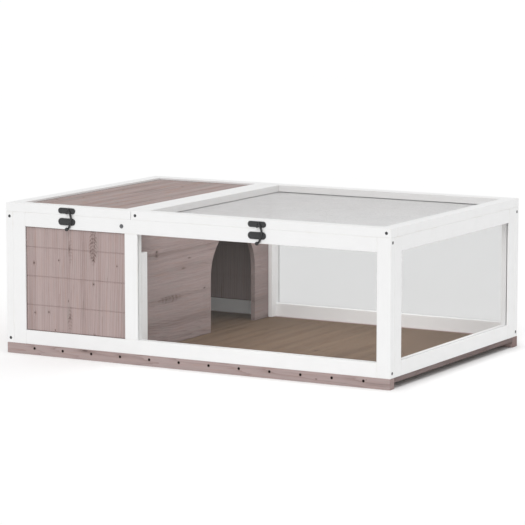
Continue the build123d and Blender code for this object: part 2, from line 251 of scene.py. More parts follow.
# How much lighter or darker than the rest those changes make a colour.
DULL_PAINT = 0.955
RUBBED_COAT = 2.1
DUSTY_STEEL = 2.2
WORN_SCREW = 2.6
DULL_ZINC = 0.86
CLOUDED_FLOOR = 0.985

# A Mix node has its colour sockets by number, because their names repeat.
MIX_AMOUNT = 0
MIX_FIRST = 6
MIX_SECOND = 7
MIX_RESULT = 2


class Finish:
    """One material, and the steps that make its pattern. Its places are in mm."""

    def __init__(self, name):
        self.material = bpy.data.materials.new(name)
        self.material.use_nodes = True
        self.tree = self.material.node_tree
        self.tree.nodes.clear()
        place = self.add("ShaderNodeTexCoord", {}, {}, "Object")
        place = self.add("ShaderNodeVectorMath", {"operation": "SCALE"},
                         {0: place, "Scale": 1 / MM})
        parts = self.add("ShaderNodeSeparateXYZ", {}, {0: place}).socket.node.outputs
        self.place = {axis: Value(self, parts[axis.upper()]) for axis in "xyz"}

    def add(self, kind, settings, inputs, output=0):
        """A node of a kind, its settings first, then its sockets' values or links."""
        node = self.tree.nodes.new(kind)
        for name, setting in settings.items():
            if name == "stops":
                ramp = node.color_ramp.elements
                for stop, (at, tone) in zip(list(ramp), setting):
                    stop.position, stop.color = at, (*tone, 1)
                for at, tone in setting[2:]:
                    ramp.new(at).color = (*tone, 1)
            else:
                setattr(node, name, setting)
        for name, given in inputs.items():
            socket = node.inputs[name]
            if isinstance(given, Value):
                self.tree.links.new(given.socket, socket)
            elif socket.type == "RGBA":
                socket.default_value = (*given, 1)
            else:
                socket.default_value = given
        return Value(self, node.outputs[output])

    def scaled(self, places, sizes, shifts=(0, 0, 0)):
        """Three places, each counted in a pattern's size and then shifted."""
        parts = {}
        for index, (place, size, shift) in enumerate(zip(places, sizes, shifts)):
            part = place / size
            parts[index] = part + shift if shift else part
        return self.add("ShaderNodeCombineXYZ", {}, parts)

    def noise(self, pattern, places, shifts=(0, 0, 0)):
        """One of the noise patterns at three places, from 0 to 1 and mostly near 0.5."""
        sizes, detail, rough = PATTERNS[pattern]
        return self.add("ShaderNodeTexNoise", {"noise_dimensions": "3D"},
                        {"Vector": self.scaled(places, sizes, shifts), "Scale": 1.0,
                         "Detail": detail, "Roughness": rough})

    def mix(self, first, second, amount, blend="MIX"):
        """The first colour where the amount is 0, the second over it where it is 1."""
        return self.add("ShaderNodeMix", {"data_type": "RGBA", "blend_type": blend},
                        {MIX_AMOUNT: amount, MIX_FIRST: first, MIX_SECOND: second},
                        MIX_RESULT)

    def ramp(self, amount, *stops):
        """A colour for each amount, from stops that are an amount and its colour."""
        return self.add("ShaderNodeValToRGB", {"stops": stops}, {0: amount})

    def close(self, sockets, kind=None, height=None):
        """The surface itself, with one of the reliefs where a kind of it is named."""
        if kind:
            depth, strength = RELIEFS[kind]
            normal = self.add("ShaderNodeBump", {}, {
                "Strength": strength, "Distance": depth, "Height": height})
            sockets = {**sockets, "Normal": normal}
        surface = self.add("ShaderNodeBsdfPrincipled", {}, sockets)
        end = self.tree.nodes.new("ShaderNodeOutputMaterial")
        self.tree.links.new(surface.socket, end.inputs["Surface"])
        return self.material


# Rings of the pine, in mm: from one to the next, then how far the seasons and the wandering
# grain move them. The trunk's taper moves them a little along it.
RING_PITCH = 3.9
SEASON_SHIFT = 7
RING_WAVE = 14
RING_SWAY = 30
TRUNK_TAPER = 0.018
LATE_WOOD_POWER = 4

# Where the heart of the trunk may lie beside and below a board, in mm, and how far its
# patterns may be shifted, in their own sizes.
HEART_SIDE = (-60, 60)
HEART_DEPTH = (25, 60)
PATTERN_SHIFT = (-900, 900)

# How far a knot pushes the grain aside, in its radii, and how soon that fades around it.
KNOT_PUSH = 0.85
KNOT_FADE = 0.03

# Chevrons, in mm: from one to the next, then how far the wandering grain moves them across
# and along, and how ragged they are. The rounding blunts their tips, in square mm.
CHEVRON_PITCH = 8.2
CHEVRON_SWAY = 9
CHEVRON_WAVE = 20
CHEVRON_RAGGED = 14
CHEVRON_ROUNDING = 6
CHEVRON_SLOPE = 0.9
GAPS_SHIFT = 7

# How dark a flame is in the gaps of its chevrons, in their strokes and all over.
GAP_SHARE = 0.25
STROKE_SHARE = 0.75
GROUND_SHARE = 0.2

# Where soft edges start and end: of knots and flames in their own radii, squared, of
# chevrons and their gaps as a part of one, and of all the others in mm.
KNOT_HEART = (0.25, 1.1)
KNOT_HALO = (0.8, 7.0)
FLAME_EDGE = (0.25, 1.1)
CHEVRON_START = (0.25, 0.55)
CHEVRON_END = (0.85, 1.0)
CHEVRON_GAP = (0.4, 0.58)
# The nail holes' painted shade reaches this far from each nail, in mm.
NAIL_HOLE_SHADE = (2.7, 3.9)
SEAM_RIM = (1.0, 3.2)
WALL_INSIDE = (14, 18)
END_GRAIN = (0.6, 2.0)
# The painted shadow line is full up to this far past a board's entry into its frame, and gone by
# this far, in mm.
ENTRY_SHADOW_LINE = (0.6, 2.4)
WORN_EDGE = (0.72, 2.4)

# How far the edge of a band fades outside it and inside it, in mm.
BAND_OUTSIDE = 1
BAND_INSIDE = 3

# The stain's tone where nothing darkens or lightens it, and the tones of its three colours,
# from 0, the darkest wood, to 1, the chalkiest.
PLAIN_TONE = 0.56
DARK_TONE = 0.05
MID_TONE = 0.46
PALE_TONE = 0.86


def chevrons(finish, along, across, wander, flames, pitch):
    """Flames of late wood where a board is cut through the ends of its rings.

    A flame is its place along, its place across, its half length, its half width and how
    strongly it shows. pitch is the distance from one of its chevrons to the next."""
    masks = []
    for at, over, half_length, half_width, strength in flames:
        down = (along - at) / half_length
        offset = across - over + wander * CHEVRON_SWAY
        side = offset / half_width
        inside = 1 - (down * down + side * side).rise(*FLAME_EDGE)
        ragged = finish.noise("chevron edge", (along, across, over))
        bend = (offset * offset + CHEVRON_ROUNDING).root() * CHEVRON_SLOPE
        line = ((along + bend + ragged * CHEVRON_RAGGED + wander * CHEVRON_WAVE)
                / pitch).fraction()
        gaps = finish.noise("chevron gaps", (along, across, over + GAPS_SHIFT))
        whole = GAP_SHARE + gaps.rise(*CHEVRON_GAP) * (1 - GAP_SHARE)
        stroke = line.rise(*CHEVRON_START) * (1 - line.rise(*CHEVRON_END)) * whole
        masks.append(inside * (stroke * STROKE_SHARE + GROUND_SHARE) * strength)
    return strongest(masks)


def knotted(along, across, knots):
    """The places across as the grain bends them round knots, the hearts and the halos.

    A knot is its place along, its place across, its radius and how many times longer it
    is, in mm."""
    straight, hearts, halos = across, [], []
    for at, over, radius, stretch in knots:
        down = (along - at) / (radius * stretch)
        side = (across - over) / radius
        reach = down * down + side * side
        push = side * (radius * KNOT_PUSH) / (1 + reach * reach * KNOT_FADE)
        straight = straight - push
        hearts.append(1 - reach.rise(*KNOT_HEART))
        halos.append(1 - reach.rise(*KNOT_HALO))
    return straight, strongest(hearts), strongest(halos)


def pine(finish, places, seed):
    """Masks of one length of pine: late wood, wide and narrow streaks, fibres, wander.

    places are those along the grain, across it and through it."""
    along, straight, through = places
    chance = Random(seed)
    heart = chance.uniform(*HEART_SIDE)
    depth = chance.uniform(*HEART_DEPTH)
    shift = chance.uniform(*PATTERN_SHIFT)
    wander = finish.noise("wander", places, (shift, 0, 0)) - 0.5
    side = straight - heart + wander * RING_SWAY
    deep = through + depth
    rings = (side * side + deep * deep).root() + along * TRUNK_TAPER + wander * RING_WAVE
    season = finish.noise("season", places, (0, shift, 0))
    late = ((rings + season * SEASON_SHIFT) / RING_PITCH).fraction() ** LATE_WOOD_POWER
    return {"late": late, "wander": wander,
            "wide": finish.noise("wide", places, (shift, 0, 0)),
            "streak": finish.noise("streak", places, (0, shift, 0)),
            "fibre": finish.noise("fibre", places, (0, 0, shift))}


def depths(finish, node):
    """How far inside a member's box each point lies, along each axis."""
    low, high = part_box(node)
    found = {}
    for index, axis in enumerate("xyz"):
        middle = (low[index] + high[index]) / 2 / MM
        half = (high[index] - low[index]) / 2 / MM
        found[axis] = half - (finish.place[axis] - middle).size()
    return found


def near_edge(finish, node):
    """1 along the outer edges of a member, where two of its depths are small, else 0."""
    x, y, z = depths(finish, node).values()
    middle_depth = x.least(y).most(x.most(y).least(z))
    return 1 - middle_depth.rise(*WORN_EDGE)


def painted_timber(node, run, seed, props):
    """White paint over pine: its grain just shows, and its corners are a little worn."""
    finish = Finish("painted_" + node)
    places = [finish.place[axis] for axis in run]
    wood = pine(finish, places, seed)
    cloud = finish.noise("paint cloud", places)
    brush = finish.noise("brush", places)
    edge = near_edge(finish, node)
    dulled = cloud.rise(*PAINT_CLOUDS) * 0.4 + wood["late"] * 0.16
    thin = edge * cloud.rise(*PAINT_WEAR) * 0.35 + wood["late"] * wood["wide"] * 0.05
    paint = tuple(props.paint)
    tone = finish.mix(paint, tinted(paint, DULL_PAINT), dulled)
    tone = finish.mix(tone, tuple(props.knot_bleed), thin)
    gloss = props.paint_roughness + (cloud - 0.5) * 0.16 + edge * 0.08
    relief = wood["late"] * 0.35 + wood["fibre"] * 0.4 + brush * 0.35
    return finish.close({"Base Color": tone, "Roughness": gloss,
                         "Specular IOR Level": 0.35}, "paint", relief)


def joinery_marks(finish, tone, node, look, dark, darkest):
    """A stained member's colour with its darker seams and end grain, a darker tint inside the walls,
    painted shade round its nails and a painted shadow line where it enters its frame.
    """
    # Partly painted shade: the wood round each nail darkens to the knots' colour, as the shadow of a
    # sunk nail hole with stain pooled in it.
    if "nails" in look:
        first, pitch, level = look["nails"]
        step = ((finish.place["x"] - first) / pitch + 0.5).fraction() - 0.5
        drop = finish.place["z"] - level
        reach = (step * step * (pitch * pitch) + drop * drop).root()
        tone = finish.mix(tone, darkest, 1 - reach.rise(*NAIL_HOLE_SHADE))
    if "seams" in look:
        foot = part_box(node)[0].z / MM
        for number in range(SEAM_COUNT):
            level = foot + look["seams"] + number * SEAM_PITCH
            rim = 1 - (finish.place["z"] - level).size().rise(*SEAM_RIM)
            tone = finish.mix(tone, dark, rim * 0.12)
    # The floor is darker and warmer inside the walls than at its edges.
    if "inside_tint" in look:
        inside = depths(finish, node)["x"].rise(*WALL_INSIDE)
        tone = finish.mix(tone, look["inside_tint"], inside, "MULTIPLY")
    if "ends" in look:
        cut = 1 - depths(finish, node)[look["run"][0]].rise(*END_GRAIN)
        tone = finish.mix(tone, dark, cut * look["ends"])
    # Painted shadow: a dark line along the edges where the board runs into its frame.
    if "entry" in look:
        depth = depths(finish, node)
        along, across = (depth[axis] for axis in look["run"][:2])
        start, end = (look["entry"] + line for line in ENTRY_SHADOW_LINE)
        tone = finish.mix(tone, darkest, (1 - along.least(across).rise(start, end)) * 0.8)
    return tone


def stained_timber(node, look, seed, props):
    """A brown, chalky stain that lets the rings, streaks and knots of the pine show."""
    finish = Finish("stained_" + node)
    along, across, through = (finish.place[axis] for axis in look["run"])
    straight, hearts, halos = knotted(along, across, look["knots"])
    wood = pine(finish, (along, straight, through), seed)
    streaks = (wood["wide"] - 0.5) * 0.55 + (wood["streak"] - 0.5) * 0.42
    fibres = (wood["fibre"] - 0.5) * 0.45
    rings = wood["late"] * (0.1 + wood["streak"] * 0.4)
    tone = PLAIN_TONE + streaks * look.get("contrast", 1.0) + fibres - rings
    for start, end, change in look.get("bands", ()):
        band = (straight.rise(start - BAND_OUTSIDE, start + BAND_INSIDE)
                - straight.rise(end - BAND_INSIDE, end + BAND_OUTSIDE))
        tone = tone + band * change * 0.7
    tone = tone - halos * 0.12
    if "flames" in look:
        flames = chevrons(finish, along, across, wood["wander"], look["flames"],
                          look.get("pitch", CHEVRON_PITCH))
        tone = tone - flames * 0.8
    shade = look.get("shade", 1.0)
    dark, mid, pale, warm, cool = (tinted(tint, shade) for tint in (
        props.stain_dark, props.stain, props.stain_pale, props.stain_warm, props.stain_cool))
    darkest = tuple(props.knot)
    tone = finish.ramp(tone, (DARK_TONE, dark), (MID_TONE, mid), (PALE_TONE, pale))
    if "flames" in look:
        tone = finish.mix(tone, darkest, flames * 0.3)
    hue = finish.noise("hue", (along, across, through))
    hues = look.get("hues", 0.25)
    tone = finish.mix(tone, warm, hue.rise(*WARM_WOOD) * hues)
    tone = finish.mix(tone, cool, (1 - hue.rise(*COOL_WOOD)) * hues)
    tone = finish.mix(tone, darkest, hearts * 0.75)
    tone = joinery_marks(finish, tone, node, look, dark, darkest)
    gloss = 0.72 + (wood["fibre"] - 0.5) * 0.2 - wood["late"] * 0.08
    relief = wood["fibre"] * 0.7 + wood["late"] * 0.45 + wood["streak"] * 0.3
    return finish.close({"Base Color": tone, "Roughness": gloss,
                         "Specular IOR Level": 0.12}, "stain", relief)


def clear_sheet(node, props):
    """Clear acrylic with the faintest smears of handling."""
    finish = Finish("clear_" + node)
    smear = finish.noise("smear", finish.place.values())
    return finish.close({"Base Color": tuple(props.pane), "IOR": ACRYLIC_IOR,
                         "Roughness": 0.03 + smear.rise(*SMEARS) * 0.09,
                         "Alpha": props.pane_haze})


def black_coat(props):
    """Powder coat: fine orange peel, a little rubbed where it is handled."""
    finish = Finish("black_powder_coat")
    peel = finish.noise("orange peel", finish.place.values())
    rub = finish.noise("rub", finish.place.values()).rise(*RUBBED)
    coat = tuple(props.black)
    rubbed = tinted(coat, RUBBED_COAT)
    return finish.close({"Base Color": finish.mix(coat, rubbed, rub * 0.6),
                         "Roughness": 0.42 + rub * 0.16 + (peel - 0.5) * 0.1,
                         "Specular IOR Level": 0.45}, "black coat", peel)


def dark_steel(name, tone, gloss):
    """Dark screws and nails with a dusty bloom."""
    finish = Finish(name)
    bloom = finish.noise("bloom", finish.place.values())
    dusted = finish.mix(tuple(tone), tinted(tone, DUSTY_STEEL), bloom.rise(*DUST))
    return finish.close({"Base Color": dusted, "Roughness": 0.5 + bloom * 0.3,
                         "Specular IOR Level": gloss}, "dark steel", bloom)


def zinc_coat(props):
    """Galvanised steel wire: soft spangle, a shade duller in patches."""
    finish = Finish("galvanised_wire")
    place = finish.scaled(finish.place.values(), SPANGLE_SIZE)
    cells = finish.add("ShaderNodeTexVoronoi", {}, {"Vector": place, "Scale": 1.0}, "Color")
    spangle = finish.add("ShaderNodeSeparateColor", {}, {0: cells})
    patch = finish.noise("zinc patch", finish.place.values())
    dulled = spangle * 0.5 + patch.rise(*ZINC_PATCHES) * 0.2
    bright = tuple(props.zinc)
    tone = finish.mix(bright, tinted(bright, DULL_ZINC), dulled)
    return finish.close({"Base Color": tone, "Roughness": 0.42 + spangle * 0.14,
                         "Metallic": 0.35}, "zinc", spangle)


BLACK_METAL = "black_metal"
MERGE_DISTANCE = 0.002 * MM
CUT_DISTANCE = 0.001 * MM

# Angles between faces, below which they are joined, shaded as one or not bevelled.
FLAT_ANGLE = radians(0.5)
FASTENER_ANGLE = radians(32)
FITTING_ANGLE = radians(35)
BEVEL_ANGLE = radians(42)
WIRE_ANGLE = radians(70)
BEVEL_SEGMENTS = 2

# The part of a fastener's length that counts as its end, and how much of its width the
# driver's cross keeps at its foot.
END_SHARE = 0.04
CROSS_TAPER = 0.62


def dress(node, material):
    """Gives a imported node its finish."""
    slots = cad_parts[node].data.materials
    slots.clear()
    slots.append(material)


def set_up(name, data, place=(0, 0, 0)):
    """A new object of the scene."""
    item = bpy.data.objects.new(name, data)
    item.location = place
    bpy.context.scene.collection.objects.link(item)
    return item


def meshed(name, shape):
    """A mesh of a shape, which is used up."""
    mesh = bpy.data.meshes.new(name)
    shape.to_mesh(mesh)
    shape.free()
    return mesh


def smoothed(piece, angle):
    """Shades a piece as round, apart from edges sharper than an angle."""
    piece.data.shade_smooth()
    piece.data.set_sharp_from_angle(angle=angle)


def place_piece(name, shape, material, slot, body, *nodes):
    """Makes an object of a shape, and has it ride a body in place of the nodes."""
    shape.normal_update()
    mesh = meshed(name, shape)
    mesh.materials.append(material)
    piece = set_up(name, mesh)
    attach(piece, body)
    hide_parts(*nodes)
    return piece


def merged(node):
    """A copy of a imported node, its loose triangles joined."""
    shape = bmesh.new()
    shape.from_mesh(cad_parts[node].data)
    bmesh.ops.remove_doubles(shape, verts=shape.verts[:], dist=MERGE_DISTANCE)
    return shape


def solids(node):
    """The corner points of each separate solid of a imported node."""
    shape = merged(node)
    found = []
    for vert in shape.verts:
        vert.tag = False
    for first in shape.verts:
        if first.tag:
            continue
        first.tag = True
        reached, points = [first], []
        while reached:
            vert = reached.pop()
            points.append(vert.co.copy())
            for edge in vert.link_edges:
                other = edge.other_vert(vert)
                if not other.tag:
                    other.tag = True
                    reached.append(other)
        found.append(points)
    shape.free()
    return found


def end_radius(points, middle, axis, end, reach):
    """How far the points near one end of a round solid stand off its axis."""
    widest = 0.0
    for point in points:
        if abs(point[axis] - end) < reach:
            arm = point - middle
            arm[axis] = 0
            widest = max(widest, arm.length)
    return widest


def fastenings(node):
    """Head centre, outward direction, head radius, shank radius and length of each."""
    found = []
    for points in solids(node):
        low = Vector(min(point[i] for point in points) for i in range(3))
        high = Vector(max(point[i] for point in points) for i in range(3))
        middle, size = (low + high) / 2, high - low
        axis = max(range(3), key=lambda i: size[i])
        radii = {side: end_radius(points, middle, axis, end[axis], size[axis] * END_SHARE)
                 for side, end in ((-1, low), (1, high))}
        side = max(radii, key=radii.get)
        outward = Vector((0, 0, 0))
        outward[axis] = side
        head = middle.copy()
        head[axis] = (low if side < 0 else high)[axis]
        found.append((head, outward, max(radii.values()), min(radii.values()), size[axis]))
    return found


def new_verts(made):
    """The vertices among what an operator has made."""
    return [item for item in made["geom"] if isinstance(item, bmesh.types.BMVert)]


def cut_cross(shape, arm, width, depth):
    """Sinks a cross under the disc for the driver's bit. The disc's faces over it aren't removed."""
    for axis in (Vector((1, 0, 0)), Vector((0, 1, 0))):
        for off in (-arm, -width, width, arm):
            bmesh.ops.bisect_plane(shape, geom=shape.verts[:] + shape.edges[:] + shape.faces[:],
                                   dist=CUT_DISTANCE, plane_co=axis * off, plane_no=axis)
    cross = []
    for face in shape.faces:
        across, up = (abs(part) for part in face.calc_center_median()[:2])
        if min(across, up) < width and max(across, up) < arm:
            cross.append(face)
    sunk = new_verts(bmesh.ops.extrude_face_region(shape, geom=cross))
    bmesh.ops.translate(shape, vec=(0, 0, -depth), verts=sunk)
    bmesh.ops.scale(shape, vec=(CROSS_TAPER, CROSS_TAPER, 1), verts=sunk)


def turned(sides, radius, rings, cross):
    """A round fastener with its head at the origin, drawn out ring by ring."""
    shape = bmesh.new()
    bmesh.ops.create_circle(shape, cap_ends=True, segments=sides, radius=radius)
    if cross:
        cut_cross(shape, *cross)
    for next_radius, drop in rings:
        rim = [edge for edge in shape.edges if edge.is_boundary]
        drawn = new_verts(bmesh.ops.extrude_edge_only(shape, edges=rim))
        change = next_radius / radius
        bmesh.ops.scale(shape, vec=(change, change, 1), verts=drawn)
        bmesh.ops.translate(shape, vec=(0, 0, -drop), verts=drawn)
        radius = next_radius
    rim = [edge for edge in shape.edges if edge.is_boundary]
    bmesh.ops.holes_fill(shape, edges=rim, sides=0)
    bmesh.ops.recalc_face_normals(shape, faces=shape.faces[:])
    return meshed("fastener", shape)


# Profiles of the fasteners, from the radii of head and shank and the length: the radius of
# the top, the rings below it, each a radius and its drop, and the cross's arm, width and depth.


def flush_screw(head, shank, long):
    """A countersunk screw."""
    rings = ((head, head * 0.06), (shank, head - shank), (shank, long * 0.6),
             (shank * 0.1, long * 0.12))
    return head * 0.97, rings, (head * 0.62, head * 0.13, head * 0.4)


def raised_screw(head, shank, long):
    """A screw with a pan head that stands off the wood."""
    rings = ((head * 0.9, head * 0.08), (head, head * 0.14), (head, head * 0.15),
             (shank, 0.0), (shank, long * 0.6), (shank * 0.1, long * 0.12))
    return head * 0.7, rings, (head * 0.5, head * 0.11, head * 0.3)


def round_nail(head, shank, long):
    """A nail with a flat round head."""
    rings = ((head, head * 0.1), (head, head * 0.25),
             (shank, 0.0), (shank, long * 0.7), (shank * 0.1, long * 0.1))
    return head * 0.9, rings, None


def set_in(shape, mesh, head, outward, turn):
    """Adds a fastener to a shape, with its head at a place and turned a little."""
    start = len(shape.verts)
    shape.from_mesh(mesh)
    shape.verts.ensure_lookup_table()
    place = (Matrix.Translation(head) @ outward.to_track_quat("Z", "Y").to_matrix().to_4x4()
             @ Matrix.Rotation(turn, 4, "Z"))
    bmesh.ops.transform(shape, matrix=place, verts=shape.verts[start:])


def fasteners(name, nodes, material, body, profile, sides):
    """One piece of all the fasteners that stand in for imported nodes."""
    shape = bmesh.new()
    # The seed follows from the piece alone, so that each run turns the crosses alike.
    chance = Random(len(name) + len(nodes))
    for node in nodes:
        for head, outward, head_radius, shank_radius, long in fastenings(node):
            mesh = turned(sides, *profile(head_radius, shank_radius, long))
            set_in(shape, mesh, head, outward, chance.uniform(0, tau))
            bpy.data.meshes.remove(mesh)
    smoothed(place_piece(name, shape, material, BLACK_METAL, body, *nodes), FASTENER_ANGLE)


def black_fittings(context, fittings):
    """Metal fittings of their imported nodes' own shapes, with their sharp edges softened."""
    coat = black_coat(context.scene.house_finishes)
    for name, node, body in fittings:
        shape = merged(node)
        bmesh.ops.dissolve_limit(shape, angle_limit=FLAT_ANGLE,
                                 use_dissolve_boundaries=False,
                                 verts=shape.verts[:], edges=shape.edges[:])
        piece = place_piece(name, shape, coat, BLACK_METAL, body, node)
        smoothed(piece, FITTING_ANGLE)
        bevel = piece.modifiers.new("Softened edges", "BEVEL")
        bevel.width = context.scene.house_fittings.plate_edge
        bevel.segments = BEVEL_SEGMENTS
        bevel.limit_method = "ANGLE"
        bevel.angle_limit = BEVEL_ANGLE
        bevel.harden_normals = True


# Each painted member, and the axis of its grain followed by the two across it.
PAINTED = {
    "front_left_stile": "zxy", "front_mid_stile": "zxy", "front_right_stile": "zxy",
    "front_bottom_rail": "xzy", "front_top_rail": "xzy",
    "rear_left_stile": "zxy", "rear_mid_stile": "zxy", "rear_right_stile": "zxy",
    "rear_bottom_rail": "xzy", "rear_top_rail": "xzy",
    "left_front_stile": "zyx", "left_rear_stile": "zyx",
    "left_bottom_rail": "yzx", "left_top_rail": "yzx",
    "right_front_stile": "zyx", "right_rear_stile": "zyx",
    "right_bottom_rail": "yzx", "right_top_rail": "yzx",
    "solid_lid_front_rail": "xyz", "solid_lid_rear_rail": "xyz",
    "solid_lid_left_rail": "yxz", "solid_lid_right_rail": "yxz",
    "mesh_lid_front_rail": "xyz", "mesh_lid_rear_rail": "xyz",
    "mesh_lid_left_rail": "yxz", "mesh_lid_right_rail": "yxz",
    "divider_front_cleats": "zxy", "divider_rear_cleats": "zxy",
}

# How far a board runs into its frame, its first groove above its foot, the grooves' number
# and pitch, and the nails of a beam: the first one, their pitch and their height, in mm.
BOARD_ENTRY = 6.0
FIRST_SEAM = 64.3
SEAM_COUNT = 3
SEAM_PITCH = 66.3
NAILS = (-415.7, 76.545, 15.0)

# The random seed of the first stained member, past those of the painted ones.
FIRST_STAINED_SEED = 40

# What each stained member shows, in mm where it is a length.
# run: the axis of the grain and the two across it.
# knots: each one's place along the grain, its place across, its radius and how much longer
# it is.
# flames: each one's place along, its place across, its half length, its half width and its
# strength. pitch is the distance between its chevrons.
# bands: where a paler or darker stripe starts and ends across, and its change of tone.
# shade: how much light the stain gives back. contrast: how strongly the grain shows.
# hues: how much warm and cool wood shows. ends: how dark the end grain is.
# walked: the tint of a floor inside the walls.
# entry: how far a board runs into its frame; a painted shadow line follows its edges just past it.
STAINED = {
    "front_board": {
        "run": "zxy", "entry": BOARD_ENTRY, "seams": FIRST_SEAM, "shade": 0.98,
        "knots": ((211, -417, 2.4, 1.1), (221, -350, 2.2, 1.2), (248, -322, 1.2, 7.0),
                  (228, -257, 1.8, 1.3), (173, -257, 2.2, 1.2), (97, -416, 2.0, 1.3),
                  (101, -378, 2.2, 1.2), (61, -361, 1.8, 1.3), (57, -255, 2.0, 1.3),
                  (218, -195, 1.6, 1.5), (92, -321, 1.2, 5.0), (130, -325, 1.0, 4.0)),
        "flames": ((258, -258, 46, 13, 0.8), (90, -320, 34, 8, 0.35),
                   (244, -318, 34, 6, 0.3)),
        "bands": ((-440, -414, -0.10), (-413, -392, 0.16), (-343, -320, -0.09),
                  (-318, -296, 0.12), (-295, -276, -0.10), (-228, -200, 0.08),
                  (-184, -170, -0.10))},
    "left_board": {
        "run": "zyx", "entry": BOARD_ENTRY, "seams": FIRST_SEAM,
        "knots": ((225, -210, 2.4, 1.3), (118, -140, 2.8, 1.4), (268, -40, 2.4, 1.2),
                  (84, 65, 2.6, 1.6), (190, 150, 3.0, 1.3), (140, 235, 2.2, 1.2)),
        "flames": ((200, -90, 50, 12, 0.4), (110, 190, 40, 10, 0.3)),
        "bands": ((-280, -238, 0.10), (-170, -120, -0.10), (-20, 40, 0.10),
                  (100, 128, -0.08), (205, 260, 0.09))},
    "rear_board": {
        "run": "zxy", "entry": BOARD_ENTRY, "seams": FIRST_SEAM,
        "knots": ((240, -400, 2.4, 1.3), (130, -372, 2.8, 1.4), (196, -301, 2.4, 1.2),
                  (88, -400, 3.0, 1.4), (262, -214, 2.2, 1.3)),
        "flames": ((150, -335, 46, 11, 0.4),),
        "bands": ((-430, -405, 0.10), (-350, -318, -0.10), (-250, -205, 0.09))},
    "solid_lid_board": {
        "run": "yxz", "entry": BOARD_ENTRY, "shade": 0.88, "hues": 1.0, "contrast": 2.0,
        "knots": ((-182, -444, 2.0, 1.6), (-115, -415, 2.2, 1.6), (61, -417, 2.4, 1.6),
                  (-172, -286, 2.2, 1.6), (190, -330, 2.6, 1.6), (-20, -232, 2.0, 1.5)),
        "flames": ((60, -360, 80, 12, 0.4), (-120, -250, 70, 10, 0.3)),
        "bands": ((-448, -420, -0.08), (-395, -370, 0.10), (-310, -280, -0.09),
                  (-240, -205, 0.08))},
    "divider": {
        "run": "yzx", "shade": 0.70, "contrast": 1.8, "hues": 0.4,
        "knots": ((-222, 242, 3.4, 1.4), (-223, 233, 3.0, 1.4), (-12, 134, 2.6, 2.2),
                  (-106, 191, 1.6, 4.0), (-80, 212, 1.6, 4.0), (150, 205, 2.6, 1.6),
                  (215, 92, 2.6, 1.6)),
        "flames": ((-165, 128, 60, 10, 0.6), (40, 285, 60, 9, 0.3)), "pitch": 15.0,
        "bands": ((60, 92, -0.08), (150, 175, 0.09), (215, 240, -0.07), (270, 300, 0.08))},
    "base_front_beam": {
        "run": "xzy", "shade": 0.93, "ends": 0.3,
        "nails": NAILS,
        "knots": ((-279, 21, 1.8, 5.0), (312, 9, 1.4, 2.0), (433, 18, 1.1, 1.0))},
    "base_rear_beam": {
        "run": "xzy", "ends": 0.95,
        "nails": NAILS,
        "knots": ((-130, 8, 1.8, 2.5), (240, 17, 1.4, 2.0))},
    "floor_panel": {
        "run": "yxz", "shade": 0.5, "hues": 0.5, "contrast": 1.8,
        "inside_tint": (0.70, 0.60, 0.43),
        "knots": ((-160, -300, 3.4, 1.6), (120, -60, 3.6, 1.6), (-80, 180, 3.8, 1.6),
                  (190, 330, 3.4, 1.6)),
        "flames": ((0, -120, 160, 16, 0.5), (-60, 260, 150, 18, 0.5))},
}


class HOUSE_OT_painted_timber(bpy.types.Operator):
    """Paints the wall frames, lid rails and cleats"""

    bl_idname = "tortoise_house.painted_timber"
    bl_label = "Painted Timber"

    def execute(self, context):
        for seed, (node, run) in enumerate(PAINTED.items()):
            dress(node, painted_timber(node, run, seed, context.scene.house_finishes))
        return {"FINISHED"}


class HOUSE_OT_stained_timber(bpy.types.Operator):
    """Stains the boards, the divider, the floor and the base beams"""

    bl_idname = "tortoise_house.stained_timber"
    bl_label = "Stained Timber"

    def execute(self, context):
        for seed, (node, look) in enumerate(STAINED.items(), FIRST_STAINED_SEED):
            dress(node, stained_timber(node, look, seed, context.scene.house_finishes))
        return {"FINISHED"}


class HOUSE_OT_windows(bpy.types.Operator):
    """Makes the three windows of clear sheet"""

    bl_idname = "tortoise_house.windows"
    bl_label = "Windows"

    def execute(self, context):
        for node in ("front_window", "right_window", "rear_window"):
            dress(node, clear_sheet(node, context.scene.house_finishes))
        return {"FINISHED"}


class HOUSE_OT_wire_net(bpy.types.Operator):
    """Lays the welded wire net of the mesh lid, one layer of wires over the other"""

    bl_idname = "tortoise_house.wire_net"
    bl_label = "Wire Net"

    def execute(self, context):
        sizes = context.scene.house_fittings
        low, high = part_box("wire_mesh")
        radius = sizes.wire_thickness / 2
        shape = bmesh.new()
        for along, across, level in ((0, 1, low.z + radius), (1, 0, high.z - radius)):
            span = high[across] - low[across]
            count = ceil(span / sizes.wire_pitch)
            turn = Matrix.Rotation(tau / 4, 4, "YX"[along])
            for number in range(count):
                centre = (low + high) / 2
                centre[across] = low[across] + span * (number + 0.5) / count
                centre.z = level
                bmesh.ops.create_cone(
                    shape, cap_ends=True, segments=sizes.wire_sides, radius1=radius,
                    radius2=radius, depth=high[along] - low[along],
                    matrix=Matrix.Translation(centre) @ turn)
        piece = place_piece("welded_wire_net", shape,
                            zinc_coat(context.scene.house_finishes),
                            "galvanised_wire", "mesh_lid", "wire_mesh")
        smoothed(piece, WIRE_ANGLE)
        return {"FINISHED"}


